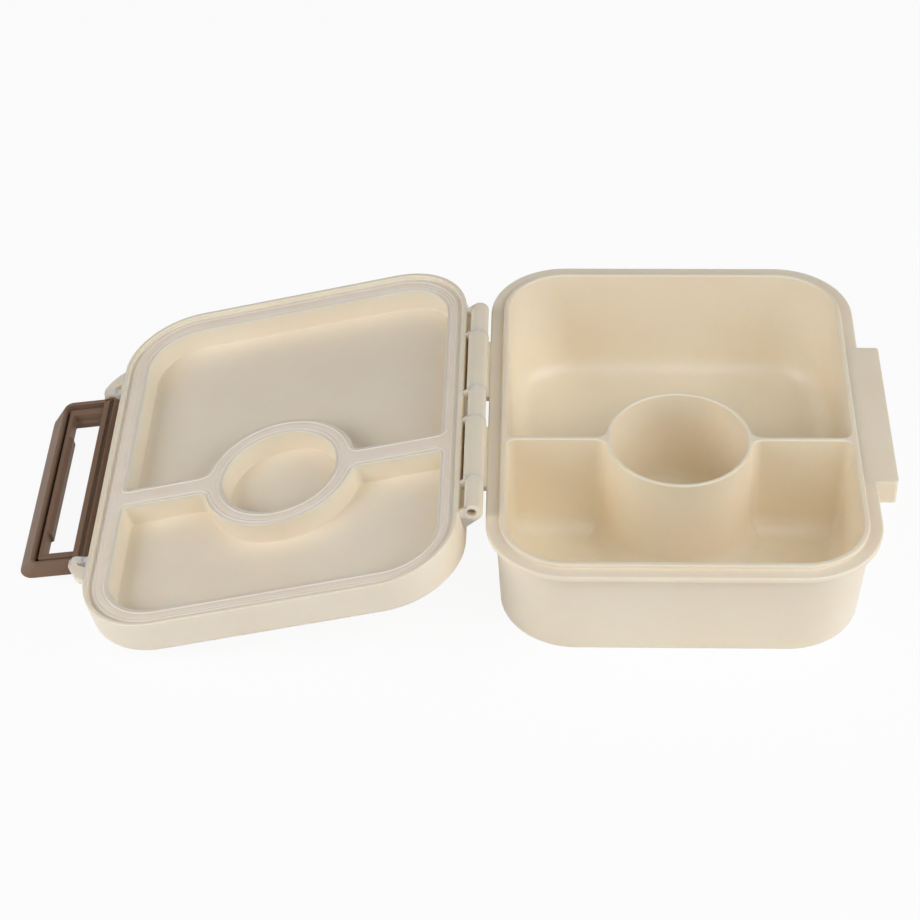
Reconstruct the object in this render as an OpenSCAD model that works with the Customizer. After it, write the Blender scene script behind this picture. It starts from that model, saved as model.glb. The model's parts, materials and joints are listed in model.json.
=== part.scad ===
// Hinged snack container: a tub with a divider and a round cup, a lid with a silicone
// seal, a hinge pin and a snap latch. It stands open: the lid's free end and the latch
// lie on the table. Origin: centre of the tub's underside. X runs from the hinge to the
// catch, Y along the hinge, Z up. The lid and the latch are drawn closed and swung open.

/* [Tub] */
// Width over the flange, from hinge side to catch side
tub_w = 130; // [112:1:150]
// Length over the flange, along the hinge
tub_d = 166.4; // [150:0.2:190]
// Height from the table to the top of the lip
tub_h = 42; // [34:0.5:60]
// Corner radius of the flange
tub_corner = 27; // [20:0.5:32]
// Corner radius of the underside
base_corner = 25.5; // [20:0.5:32]
// Thickness of the side walls
wall = 3.0; // [2:0.1:4]
// Thickness of the floor
floor_t = 2.0; // [1.5:0.1:4]
// Radius where the walls meet the floor inside
floor_r = 5; // [2:0.5:8]
// How far the hinge-side and catch-side walls lean in towards the base
lean_x = 1.3; // [0.5:0.1:4]
// How far the front and back walls lean in towards the base
lean_y = 5.6; // [1:0.1:8]

/* [Flange and lip] */
// Thickness of the flange
flange_t = 2.2; // [1.8:0.1:4]
// Overhang of the flange past the wall below it
flange_w = 3.3; // [2.5:0.1:4.5]
// Rounding of the flange's edge
flange_edge = 0.7; // [0.3:0.1:0.7]
// Height of the lip above the flange
lip_h = 1.3; // [0.8:0.1:2.5]
// Thickness of the lip
lip_t = 1.8; // [1.2:0.1:2.4]

/* [Divider and cup] */
// Place of the divider and the cup along the hinge direction
divider_y = -15.5; // [-30:0.5:10]
// Thickness of the divider at its top
divider_t = 1.8; // [1.2:0.1:3]
// Outside diameter of the cup at its top
cup_d = 49.6; // [40:0.2:56]
// Thickness of the cup's wall at its top
cup_wall = 1.5; // [1.2:0.1:3]
// How much thicker divider and cup get on each side towards the floor
rib_draft = 0.7; // [0.2:0.1:1.2]
// Radius where the divider meets the cup and the walls
junction_r = 4; // [2:0.5:6]

/* [Catch ledge] */
// Length of the ledge along the hinge direction
catch_len = 72; // [50:1:76]
// How far the ledge stands out past the flange
catch_out = 7.2; // [5:0.1:9]
// Height of the ledge
catch_h = 8.9; // [7:0.1:12]
// Step from the flange's top down to the ledge's top
catch_step = 0.2; // [0.2:0.1:1]
// Thickness of the ledge's walls
catch_wall = 2.4; // [1.6:0.1:3]
// Corner radius of the ledge seen from above
catch_r = 1.2; // [0.4:0.1:2]

/* [Hinge] */
// Outside diameter of the knuckles
barrel_d = 6.7; // [6:0.1:8]
// Gap between the flange's edge and the knuckles
hinge_gap = 1.25; // [1:0.05:2]
// Height of the hinge axis above the flange
hinge_rise = 2.1; // [1.4:0.1:3]
// Length of each of the two end knuckles and of the middle one, all on the lid
lid_knuckle = 15.7; // [10:0.1:20]
// Length of each of the two knuckles on the tub
tub_knuckle = 31.5; // [24:0.1:34]
// Gap between neighbouring knuckles
knuckle_gap = 0.3; // [0.2:0.05:0.6]
// Diameter of the hinge pin
pin_d = 3.2; // [2:0.1:3.4]
// Radial clearance of the pin in its bores
pin_fit = 0.05; // [0.02:0.01:0.1]
// How far the pin's ends lie inside the end faces
pin_recess = 2.5; // [0.5:0.1:5]
// Thickness of the end plates beside the outermost knuckles
web_t = 1.8; // [1.2:0.1:2.4]
// Height above the hinge axis where the lid's webs meet its wall
web_rise = 6.6; // [5:0.1:8]
// Thickness of the lid's webs where they meet its wall
web_root = 2.3; // [1.6:0.1:3]

/* [Lid] */
// How far the lid's side stands out past the flange on each side
lid_over = 0.4; // [0:0.05:0.8]
// Height of the lid from rim to roof
lid_h = 13.0; // [11:0.1:20]
// Thickness of the lid's outer wall at the rim
lid_wall = 1.7; // [1.2:0.1:2.2]
// Thickness of the lid's roof
roof_t = 2.2; // [1.6:0.1:3]
// Depth of the shallow panel in the outside of the roof
panel_drop = 1.2; // [0.6:0.1:2]
// Width of the border round the roof's panel
panel_border = 9; // [6:0.5:14]
// Rounding of the roof's outer edge
roof_edge = 2.2; // [1:0.1:3]
// Gap between the lid's rim and the flange when closed
rim_gap = 0.5; // [0.3:0.05:0.8]
// Width of the band between the lid's outside and its compartments
shelf_w = 8.8; // [8:0.1:11]
// Width of the cross bar over the divider
bar_w = 9.2; // [7:0.1:12]
// Outside diameter of the ring over the cup
ring_d = 54; // [50:0.5:60]
// Inside diameter of the ring over the cup
ring_bore = 40.8; // [34:0.2:44]

/* [Seal] */
// Gap between the seal and the lip when closed
seal_gap = 0.3; // [0.2:0.05:0.5]
// Thickness of the seal without its beads
seal_t = 1.6; // [1.2:0.1:2.5]
// Height of the seal's beads
bead_h = 0.4; // [0.2:0.05:0.6]
// Width of each bead
bead_w = 0.9; // [0.6:0.1:1.2]
// Width of lid left bare beside the seal
seal_edge = 0.7; // [0.4:0.1:1.2]
// Side clearance of the seal in its channel
seal_fit = 0.1; // [0.05:0.01:0.2]

/* [Latch] */
// Length of the latch along the hinge direction
latch_len = 87; // [82:0.5:110]
// Distance from the lid's side to the latch's pivot
pivot_out = 4.2; // [3.8:0.1:5]
// Height of the latch's pivot above the lid's rim when closed
pivot_rise = 2.6; // [2.2:0.1:4]
// Distance from the pivot to the latch's tip
latch_reach = 22.8; // [20:0.1:28]
// Depth from the pivot to the latch's smooth front
front_depth = 5.8; // [5:0.1:7]
// Depth of the latch's back rim on the other side of the pivot
rim_rise = 1.0; // [0.6:0.1:1.2]
// Thickness of the latch's front plate
plate_t = 1.8; // [1.2:0.1:2.2]
// Thickness of the latch's outer walls
latch_wall = 1.5; // [1:0.1:2]
// How far the latch's tip slopes in from front to rim
tip_slope = 5.2; // [1:0.1:5.6]
// How far the walls inside the latch lie below its rim
frame_drop = 1.5; // [0.6:0.1:2]
// Width of the bar round the pivot, on the tip's side of it
bar_ahead = 2.7; // [2:0.1:2.8]
// Width of the bar round the pivot, on the lid's side of it
bar_behind = 2.9; // [2:0.1:3]
// Width of the latch's window along the hinge direction
window_len = 66.8; // [44:0.2:68]
// Thickness of the wall round the pocket that takes the ledge
pocket_wall = 1.8; // [1.2:0.1:2.4]
// Clearance between the latch and the ledge, on every side
catch_fit = 0.3; // [0.2:0.05:0.4]
// How far the hook reaches in under the ledge
hook_bite = 1.5; // [0.8:0.1:2]
// Width of the hook's sloped lead-in
hook_lead = 1.0; // [0.4:0.1:1.4]
// Width of the hook behind its lead-in
hook_back = 1.6; // [1:0.1:2.4]
// Length of the hook along the hinge direction
hook_len = 50; // [30:1:60]
// How much further the window reaches on each side of the hook
notch_w = 1.2; // [0.6:0.1:1.8]
// Corner radius of the latch's tip at its front
tip_r = 5; // [3:0.1:7]
// Corner radius of the latch's tip at its rim
rim_r = 3; // [2:0.1:5]
// Rounding of the latch's edge between front and tip
tip_edge = 0.8; // [0.3:0.1:1.2]
// Width of the sloped side of the bar, beside the lid
bar_slope = 2.0; // [0.8:0.1:2.4]
// Diameter of the latch's two pivot stubs
stub_d = 3.0; // [2:0.1:3.6]
// Radial clearance of the stubs in the lid's ears
stub_fit = 0.08; // [0.03:0.01:0.1]
// Length of each pivot stub
stub_len = 2.0; // [1.4:0.1:2.2]

/* [Ears] */
// Thickness of the ears that carry the latch
ear_t = 2.8; // [2.4:0.1:4]
// Outside radius of the ears round the pivot
ear_r = 3.0; // [2.8:0.1:3.4]
// Gap between the latch's ends and the ears
ear_gap = 0.35; // [0.25:0.05:0.6]
// Length of the sloping brace beside each ear, along the lid's wall
brace_len = 12; // [8:0.5:16]
// Height of the braces
brace_h = 4; // [2.5:0.1:5]
// Thickness of the braces and of their roots
brace_t = 1.6; // [1:0.1:2.4]
// Width of the braces at their tips, beside the ears
brace_tip = 3.6; // [2:0.1:6]

/* [Hidden] */
$fn = 96;
// Thickness of the thin layers that rounded bodies are spanned from
eps = 0.02;
// Overlap where two shapes of one moulding meet
join = 0.5;
// Small step that keeps neighbouring faces apart
shy = 0.2;
// Play between the table and the edges of the open lid and latch
table_gap = 0.15;
// Margin of a cut past the face that it opens
past = 1;
cream = [0.93, 0.89, 0.82];
cream_lid = [0.94, 0.91, 0.84];
seal_tone = [0.85, 0.80, 0.76];
brown = [0.34, 0.26, 0.21];

// Heights, measured up from the table with the lid closed
flange_z = tub_h - lip_h;
rim_z = flange_z + rim_gap;
roof_z = rim_z + lid_h;
floor_z = roof_z - panel_drop - roof_t;
bead_z = tub_h + seal_gap;
seal_z = bead_z + bead_h;
catch_z = flange_z - catch_step;
catch_foot = catch_z - catch_h;

// Plan sizes
lid_w = tub_w + 2 * lid_over;
lid_d = tub_d + 2 * lid_over;
lid_corner = tub_corner + lid_over;
mouth_in = flange_w + wall;
lip_in = mouth_in - lip_t;
recess_w = lid_w - 2 * shelf_w;
recess_d = lid_d - 2 * shelf_w;
recess_corner = lid_corner - shelf_w;
seal_out = lid_wall + 2 * join;

// Hinge
hinge_x = -(tub_w / 2 + hinge_gap + barrel_d / 2);
hinge_z = flange_z + hinge_rise;
hinge_len = 3 * lid_knuckle + 2 * tub_knuckle;
bore_d = pin_d + 2 * pin_fit;
lid_knuckle_y = [for (s = [-1, 0, 1]) s * (lid_knuckle + tub_knuckle)];
tub_knuckle_y = [for (s = [-1, 1]) s * (lid_knuckle + tub_knuckle) / 2];

// Latch pivot, closed
pivot_x = lid_w / 2 + pivot_out;
pivot_z = rim_z + pivot_rise;
ledge_x = tub_w / 2 + catch_out;

// The lid opens until the edge of its roof meets the table
lid_reach = lid_w / 2 - hinge_x - roof_edge * 0.35;
lid_top = roof_z - hinge_z - roof_edge * 0.05;
lid_tilt = asin((hinge_z - table_gap) / norm([lid_reach, lid_top])) - atan(lid_top / lid_reach);
lid_open = 180 + lid_tilt;
echo(lid_open = lid_open);

// The latch opens until the edge of its tip meets the table
pivot_u = pivot_x - hinge_x;
pivot_w = pivot_z - hinge_z;
pivot_rest_z = hinge_z - pivot_u * sin(lid_tilt) - pivot_w * cos(lid_tilt);
latch_edge = latch_reach - 0.75 * tip_edge;
latch_tilt = asin((pivot_rest_z - table_gap) / norm([latch_edge, front_depth]))
           - atan(front_depth / latch_edge);
latch_open = 90 + latch_tilt - lid_tilt;
echo(latch_open = latch_open);
echo(hinge = [hinge_x, 0, hinge_z], pivot_closed = [pivot_x, 0, pivot_z]);
echo(pivot_rest = [hinge_x - pivot_u * cos(lid_tilt) + pivot_w * sin(lid_tilt), 0, pivot_rest_z]);

// Distances along the latch, from the pivot towards the tip
hook_a = pivot_z - catch_foot + catch_fit;
hook_end = hook_a + hook_lead + hook_back;
window_end = hook_a - shy;
// Depths across the latch, from the pivot towards the smooth front
pocket_b = ledge_x + catch_fit - pivot_x;
hook_b = ledge_x - hook_bite - pivot_x;
pocket_len = catch_len + 2 * catch_fit + 2 * join;

// Rounded rectangle, centred
module plan(w, d, r) {
    square([w - 2 * r, d], center = true);
    square([w, d - 2 * r], center = true);
    for (x = [-1, 1], y = [-1, 1])
        translate([x * (w / 2 - r), y * (d / 2 - r)]) circle(r);
}

// Thin layer of a tapered or rounded body
module layer(w, d, r, z) {
    translate([0, 0, z]) linear_extrude(eps) plan(w, d, r, $fn = 48);
}

// Box from corner to corner
module block(from, to) {
    translate(from) cube(to - from);
}

// Extrudes a profile drawn in X and Z along Y, centred on y
module along_y(length, y = 0) {
    translate([0, y + length / 2, 0]) rotate([90, 0, 0]) linear_extrude(length) children();
}

// Swings what is drawn closed about the hinge, to the open lid's place
module on_open_lid() {
    translate([hinge_x, 0, hinge_z]) rotate([0, -lid_open, 0])
        translate([-hinge_x, 0, -hinge_z]) children();
}

// Places the latch, drawn with its pivot at the origin, on the closed lid
module at_pivot() {
    translate([pivot_x, 0, pivot_z]) rotate([0, -latch_open, 0]) children();
}

// ---- Tub ----

module tub_outside() {
    body_z = flange_z - flange_t;
    hull() {
        layer(tub_w - 2 * (flange_w + lean_x), tub_d - 2 * (flange_w + lean_y), base_corner, 0);
        layer(tub_w - 2 * flange_w, tub_d - 2 * flange_w, tub_corner - flange_w,
              body_z + join);
    }
    hull() {
        layer(tub_w - 2 * flange_edge, tub_d - 2 * flange_edge, tub_corner - flange_edge, body_z);
        layer(tub_w, tub_d, tub_corner, body_z + flange_edge);
        layer(tub_w, tub_d, tub_corner, flange_z - flange_edge);
        layer(tub_w - 2 * flange_edge, tub_d - 2 * flange_edge, tub_corner - flange_edge,
              flange_z - eps);
    }
    translate([0, 0, flange_z - join]) linear_extrude(lip_h + join)
        plan(tub_w - 2 * lip_in, tub_d - 2 * lip_in, tub_corner - lip_in);
}

module tub_inside() {
    hull() {
        for (a = [0, 30, 60, 90]) {
            inset = floor_r * (1 - sin(a));
            layer(tub_w - 2 * (mouth_in + inset + lean_x), tub_d - 2 * (mouth_in + inset + lean_y),
                  base_corner - wall - inset, floor_t + floor_r * (1 - cos(a)));
        }
        layer(tub_w - 2 * mouth_in, tub_d - 2 * mouth_in, tub_corner - mouth_in, tub_h + past);
    }
}

// Divider, thicker towards the floor, drawn to the full width of the tub
module divider() {
    half = divider_t / 2;
    rotate([90, 0, 90]) translate([divider_y, 0, -tub_w / 2]) linear_extrude(tub_w)
        polygon([[-half - rib_draft, 0], [half + rib_draft, 0], [half, tub_h], [-half, tub_h]]);
}

// Concave corner between two upright faces, pointing along +X and +Y
module corner_fillet(r) {
    linear_extrude(tub_h) difference() {
        translate([-join, -join]) square(r + join);
        translate([r, r]) circle(r);
    }
}

module junctions() {
    half = divider_t / 2;
    meet = sqrt(pow(cup_d / 2, 2) - pow(half, 2));
    inner = tub_w / 2 - mouth_in;
    for (x = [-1, 1], y = [-1, 1]) {
        translate([x * (meet - shy), divider_y + y * half, 0]) mirror([x < 0 ? 1 : 0, 0, 0])
            mirror([0, y < 0 ? 1 : 0, 0]) corner_fillet(junction_r);
        translate([x * inner, divider_y + y * half, 0]) mirror([x > 0 ? 1 : 0, 0, 0])
            mirror([0, y < 0 ? 1 : 0, 0]) corner_fillet(junction_r * 0.75);
    }
}

module cup_outside() {
    translate([0, divider_y, 0]) cylinder(h = tub_h, r1 = cup_d / 2 + rib_draft, r2 = cup_d / 2);
}

module cup_inside() {
    mouth = cup_d / 2 - cup_wall;
    foot = mouth - rib_draft;
    translate([0, divider_y, 0]) rotate_extrude() {
        polygon([[0, floor_t + floor_r], [foot, floor_t + floor_r], [mouth, tub_h],
                 [mouth, tub_h + past], [0, tub_h + past]]);
        translate([0, floor_t]) square([foot - floor_r, floor_r + eps]);
        intersection() {
            translate([foot - floor_r, floor_t + floor_r]) circle(floor_r);
            translate([0, floor_t]) square([foot, floor_r + eps]);
        }
    }
}

// Ledge that the latch hooks under: a top and three walls, open below
module catch_ledge() {
    root_x = tub_w / 2 - flange_w - lean_x - join;
    reach = ledge_x - root_x;
    hollow_x = tub_w / 2 - flange_w + shy;
    difference() {
        translate([root_x + reach / 2, 0, catch_foot]) linear_extrude(catch_h)
            plan(reach, catch_len, catch_r);
        block([hollow_x, catch_wall - catch_len / 2, catch_foot - past],
              [ledge_x - catch_wall, catch_len / 2 - catch_wall, catch_z - catch_wall]);
    }
}

// Tub knuckle and the web that runs under the flange
module tub_knuckle_profile() {
    r = barrel_d / 2;
    edge = -tub_w / 2 + flange_edge;
    under = 250;
    translate([hinge_x, hinge_z]) circle(r);
    polygon([[hinge_x, hinge_z], [hinge_x + r * cos(under), hinge_z + r * sin(under)],
             [edge, flange_z - flange_t], [edge, flange_z - flange_edge],
             [hinge_x + r, flange_z - shy], [hinge_x + r, hinge_z]]);
}

module tub() {
    color(cream) difference() {
        union() {
            tub_outside();
            catch_ledge();
            for (y = tub_knuckle_y)
                along_y(tub_knuckle - knuckle_gap, y) tub_knuckle_profile();
        }
        difference() {
            tub_inside();
            divider();
            cup_outside();
            junctions();
        }
        cup_inside();
        translate([hinge_x, 0, hinge_z]) rotate([90, 0, 0])
            cylinder(h = hinge_len + 2 * past, d = bore_d, center = true);
    }
}

// ---- Hinge pin ----

module hinge_pin() {
    color("silver") translate([hinge_x, 0, hinge_z]) rotate([90, 0, 0])
        cylinder(h = hinge_len - 2 * pin_recess, d = pin_d, center = true);
}

// ---- Lid, drawn closed ----

module lid_outside() {
    hull() {
        layer(lid_w, lid_d, lid_corner, rim_z);
        layer(lid_w, lid_d, lid_corner, roof_z - roof_edge);
        for (a = [30, 60, 90]) {
            inset = roof_edge * (1 - cos(a));
            layer(lid_w - 2 * inset, lid_d - 2 * inset, lid_corner - inset,
                  roof_z - roof_edge * (1 - sin(a)) - eps);
        }
    }
}

// Bar and ring that stand over the divider and the cup, grown by a margin
module bar_and_ring(margin) {
    translate([0, divider_y]) {
        square([lid_w - 2 * shelf_w + 2, bar_w + 2 * margin], center = true);
        circle(d = ring_d + 2 * margin);
    }
}

// What the seal covers, seen from above; the margin is taken off every side
module seal_plan(margin) {
    outer = 2 * (seal_out + margin);
    inner = 2 * (shelf_w - seal_edge - margin);
    difference() {
        plan(lid_w - outer, lid_d - outer, lid_corner - outer / 2);
        difference() {
            plan(lid_w - inner, lid_d - inner, lid_corner - inner / 2);
            translate([0, divider_y]) {
                square([lid_w, bar_w - 2 * (seal_edge + margin)], center = true);
                circle(d = ring_d - 2 * (seal_edge + margin));
            }
        }
        translate([0, divider_y]) circle(d = ring_bore + 2 * (seal_edge + margin));
    }
}

// Web from a lid knuckle up to the lid's wall, tangent to the knuckle's back
module lid_knuckle_web() {
    r = barrel_d / 2;
    wall_x = -lid_w / 2 + 2 * join;
    back = 119;
    front = 50;
    polygon([[hinge_x + r * cos(back), hinge_z + r * sin(back)], [wall_x, hinge_z + web_rise],
             [wall_x, hinge_z + web_rise - web_root],
             [hinge_x + r * cos(front), hinge_z + r * sin(front)], [hinge_x, hinge_z]]);
}

// Plate that closes the gap beside the outermost knuckles
module lid_knuckle_end() {
    wall_x = -lid_w / 2 + 2 * join;
    polygon([[hinge_x, hinge_z - shy], [wall_x, hinge_z - 3 * shy],
             [wall_x, hinge_z + web_rise - join], [hinge_x, hinge_z + barrel_d / 2 - shy]]);
}

module lid_knuckles() {
    cut = knuckle_gap / 2;
    for (y = lid_knuckle_y) {
        long = lid_knuckle - (y == 0 ? 2 * cut : cut);
        shift = y == 0 ? 0 : sign(y) * cut / 2;
        along_y(long, y + shift) {
            translate([hinge_x, hinge_z]) circle(d = barrel_d);
            lid_knuckle_web();
        }
    }
    for (s = [-1, 1])
        along_y(web_t, s * (hinge_len / 2 - web_t / 2)) lid_knuckle_end();
}

// Ear with its bearing hole and sloping brace, on the +Y side
module ear() {
    y0 = latch_len / 2 + ear_gap;
    y1 = y0 + ear_t;
    root = lid_w / 2 - join;
    tip = pivot_x + ear_r - 2 * shy;
    along_y(ear_t, y0 + ear_t / 2) {
        translate([pivot_x, pivot_z]) circle(ear_r);
        polygon([[root, pivot_z - ear_r / 2], [pivot_x, pivot_z - ear_r],
                 [pivot_x, pivot_z + ear_r], [root, pivot_z + ear_r + 2 * join]]);
    }
    translate([0, 0, pivot_z - brace_h / 4]) linear_extrude(brace_h) difference() {
        polygon([[root, y0], [root, y1 + brace_len], [tip - brace_t, y1 + brace_tip],
                 [tip, y1], [tip, y0]]);
        polygon([[root + brace_t, y1], [root + brace_t, y1 + 2.6 * brace_t],
                 [tip - 1.4 * brace_t, y1 + brace_t], [tip - 1.4 * brace_t, y1]]);
    }
}

module lid() {
    color(cream_lid) on_open_lid() difference() {
        union() {
            lid_outside();
            lid_knuckles();
            for (s = [0, 1]) mirror([0, s, 0]) ear();
        }
        // Space inside the rim, over the tub's lip
        translate([0, 0, rim_z - past]) linear_extrude(seal_z - rim_z + past)
            plan(lid_w - 2 * lid_wall, lid_d - 2 * lid_wall, lid_corner - lid_wall);
        // Compartments, with the bar and the ring left standing
        translate([0, 0, seal_z - eps]) linear_extrude(floor_z - seal_z + eps) {
            difference() {
                plan(recess_w, recess_d, recess_corner);
                bar_and_ring(0);
            }
            translate([0, divider_y]) circle(d = ring_bore);
        }
        // Channel that holds the seal
        translate([0, 0, seal_z - eps]) linear_extrude(seal_t + eps) seal_plan(-seal_fit);
        // Shallow panel in the outside of the roof
        translate([0, 0, roof_z - panel_drop]) linear_extrude(panel_drop + past)
            plan(lid_w - 2 * panel_border, lid_d - 2 * panel_border, lid_corner - panel_border);
        translate([hinge_x, 0, hinge_z]) rotate([90, 0, 0])
            cylinder(h = hinge_len + 2 * past, d = bore_d, center = true);
        translate([pivot_x, 0, pivot_z]) rotate([90, 0, 0])
            cylinder(h = latch_len + 2 * (ear_gap + stub_len + catch_fit), d = stub_d + 2 * stub_fit,
                     center = true);
    }
}

// ---- Seal: one moulding with a channel-filling band and raised beads ----

module lid_seal() {
    band = shelf_w - seal_edge - seal_out;
    color(seal_tone) on_open_lid() {
        translate([0, 0, seal_z]) linear_extrude(seal_t - seal_fit) seal_plan(0);
        translate([0, 0, bead_z]) linear_extrude(bead_h + eps) {
            difference() {
                seal_plan(bead_w / 2);
                seal_plan(bead_w * 3 / 2);
            }
            difference() {
                seal_plan((band - bead_w) / 2);
                seal_plan((band + bead_w) / 2);
            }
        }
    }
}

// ---- Latch, drawn with its pivot at the origin, tip along -Z, smooth front along +X ----

// Thin upright layer of the latch at depth x: its outline from the bar to the tip
module latch_layer(tip_z, r, x) {
    h = bar_behind - tip_z;
    translate([x, 0, 0]) rotate([90, 0, 90]) linear_extrude(eps) {
        translate([0, tip_z + h / 2 + r / 2]) square([latch_len, h - r], center = true);
        translate([0, tip_z + r]) square([latch_len - 2 * r, 2 * r], center = true);
        for (s = [-1, 1]) translate([s * (latch_len / 2 - r), tip_z + r]) circle(r, $fn = 48);
    }
}

module latch_outside() {
    foot = -latch_reach;
    hull() {
        latch_layer(foot + join, tip_r, front_depth - eps);
        latch_layer(foot, tip_r, front_depth - tip_edge);
        latch_layer(foot + tip_slope, rim_r, -rim_rise);
    }
}

module latch() {
    inner = latch_len / 2 - latch_wall;
    groove_top = -hook_end;
    pocket = pocket_len / 2;
    rim_x = -rim_rise - past;
    groove_x = front_depth - plate_t;
    groove_foot = -latch_reach + tip_slope + latch_wall;
    ridge = bar_behind - bar_slope;
    color(brown) on_open_lid() at_pivot() {
        difference() {
            latch_outside();
            // Walls round the pocket stay below the rim
            block([rim_x, -inner, groove_foot + shy], [frame_drop - rim_rise, inner, -bar_ahead - shy]);
            // Pocket that the ledge sits in
            block([rim_x, -pocket, -hook_a], [pocket_b, pocket, -bar_ahead]);
            // Lead-in of the hook
            rotate([90, 0, 0]) translate([0, 0, -pocket]) linear_extrude(2 * pocket)
                polygon([[rim_x, -hook_a - hook_lead], [hook_b - 3 * shy, -hook_a - hook_lead],
                         [hook_b + shy, -hook_a], [rim_x, -hook_a]]);
            // Window
            block([rim_x, -window_len / 2, -window_end],
                  [front_depth + past, window_len / 2, -bar_ahead]);
            // Its ends reach further, beside the hook
            for (s = [-1, 1]) {
                y0 = s > 0 ? hook_len / 2 : -window_len / 2;
                block([rim_x, y0, -window_end - notch_w],
                      [front_depth + past, y0 + (window_len - hook_len) / 2, -window_end + shy]);
            }
            // Grooves between the outer walls and the pocket's walls
            for (s = [-1, 1]) {
                y0 = min(s * (pocket + pocket_wall), s * inner);
                y1 = max(s * (pocket + pocket_wall), s * inner);
                block([rim_x, y0, groove_foot], [groove_x, y1, -bar_ahead - latch_wall]);
            }
            block([rim_x, -inner, groove_foot], [groove_x, inner, groove_top]);
            // Slope of the bar beside the lid
            rotate([90, 0, 0]) translate([0, 0, -latch_len]) linear_extrude(2 * latch_len)
                polygon([[rim_x, ridge], [-rim_rise, ridge], [3 * shy, bar_behind],
                         [3 * shy, bar_behind + past], [rim_x, bar_behind + past]]);
        }
        for (s = [-1, 1]) translate([0, s * (latch_len / 2 + (ear_gap + stub_len) / 2), 0])
            rotate([90, 0, 0]) cylinder(h = ear_gap + stub_len + join, d = stub_d, center = true);
    }
}

tub();
lid();
lid_seal();
hinge_pin();
latch();
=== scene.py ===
"""Looks of the hinged snack container: cream mouldings, soft seal, steel pin, brown latch.

Every shape is worked out in millimetres with the box closed, and then swung to the open
pose about the frame's own hinge axes.
"""
from __future__ import annotations

import json
import logging
import math
from dataclasses import dataclass, field
from enum import Enum
from typing import Any, Iterable, Sequence

import bmesh
import bpy
from mathutils import Matrix, Vector


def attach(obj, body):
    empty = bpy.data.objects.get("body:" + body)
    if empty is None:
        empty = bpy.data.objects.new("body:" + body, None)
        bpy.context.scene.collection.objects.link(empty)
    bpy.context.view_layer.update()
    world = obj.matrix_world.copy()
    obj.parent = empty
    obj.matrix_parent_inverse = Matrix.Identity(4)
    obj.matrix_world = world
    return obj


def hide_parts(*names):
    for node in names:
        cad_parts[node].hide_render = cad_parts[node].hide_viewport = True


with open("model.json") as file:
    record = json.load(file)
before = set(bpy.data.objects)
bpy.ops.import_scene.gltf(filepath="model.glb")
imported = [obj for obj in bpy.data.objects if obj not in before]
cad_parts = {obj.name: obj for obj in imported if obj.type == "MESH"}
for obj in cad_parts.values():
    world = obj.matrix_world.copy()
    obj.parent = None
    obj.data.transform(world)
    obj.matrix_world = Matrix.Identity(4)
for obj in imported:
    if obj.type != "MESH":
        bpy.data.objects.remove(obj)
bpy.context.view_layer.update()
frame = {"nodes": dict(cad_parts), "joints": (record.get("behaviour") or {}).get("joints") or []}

LOG = logging.getLogger("snack_container")
MM = 0.001
PICTURE = 920

# Shared by the tub, the lid and the seal, in millimetres
HINGE = (-69.6, 42.8)
KNUCKLE_BORE = 1.65
DIVIDER_Y = -15.5

# Smallest corners that an outline keeps when it is moved inwards
LEAST_CORNER = 0.02
LEAST_BAY_CORNER = 0.3

# Tint of the lamps and of the surroundings
LIGHT_TONE = (0.908, 0.905, 1.0)

# Sockets of the Mix node when it mixes colours
MIX_FACTOR, MIX_FIRST, MIX_SECOND, MIX_RESULT = 0, 6, 7, 2

Point = tuple[float, float]
Ring = list[bmesh.types.BMVert]


# ---------------------------------------------------------------- shader tools


class Value:
    """A number in a shader; arithmetic on it adds Math nodes."""

    def __init__(self, shader: "Shader", socket: bpy.types.NodeSocket) -> None:
        """Keeps the shader and the output socket that carries the number."""
        self.shader = shader
        self.socket = socket

    def _math(self, operation: str, first: Any, second: Any) -> "Value":
        """Adds one Math node.

        Args:
            operation: name of the Math operation.
            first: value or number on the left.
            second: value or number on the right.

        Returns:
            The result as a new value.
        """
        node = self.shader.node("ShaderNodeMath", {"operation": operation}, {0: first, 1: second})
        return Value(self.shader, node.outputs[0])

    def __add__(self, other: Any) -> "Value":
        """self + other."""
        return self._math("ADD", self, other)

    def __radd__(self, other: Any) -> "Value":
        """other + self."""
        return self._math("ADD", other, self)

    def __sub__(self, other: Any) -> "Value":
        """self - other."""
        return self._math("SUBTRACT", self, other)

    def __rsub__(self, other: Any) -> "Value":
        """other - self."""
        return self._math("SUBTRACT", other, self)

    def __mul__(self, other: Any) -> "Value":
        """self * other."""
        return self._math("MULTIPLY", self, other)

    def __rmul__(self, other: Any) -> "Value":
        """other * self."""
        return self._math("MULTIPLY", other, self)

    def __pow__(self, other: Any) -> "Value":
        """self ** other."""
        return self._math("POWER", self, other)


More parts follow.
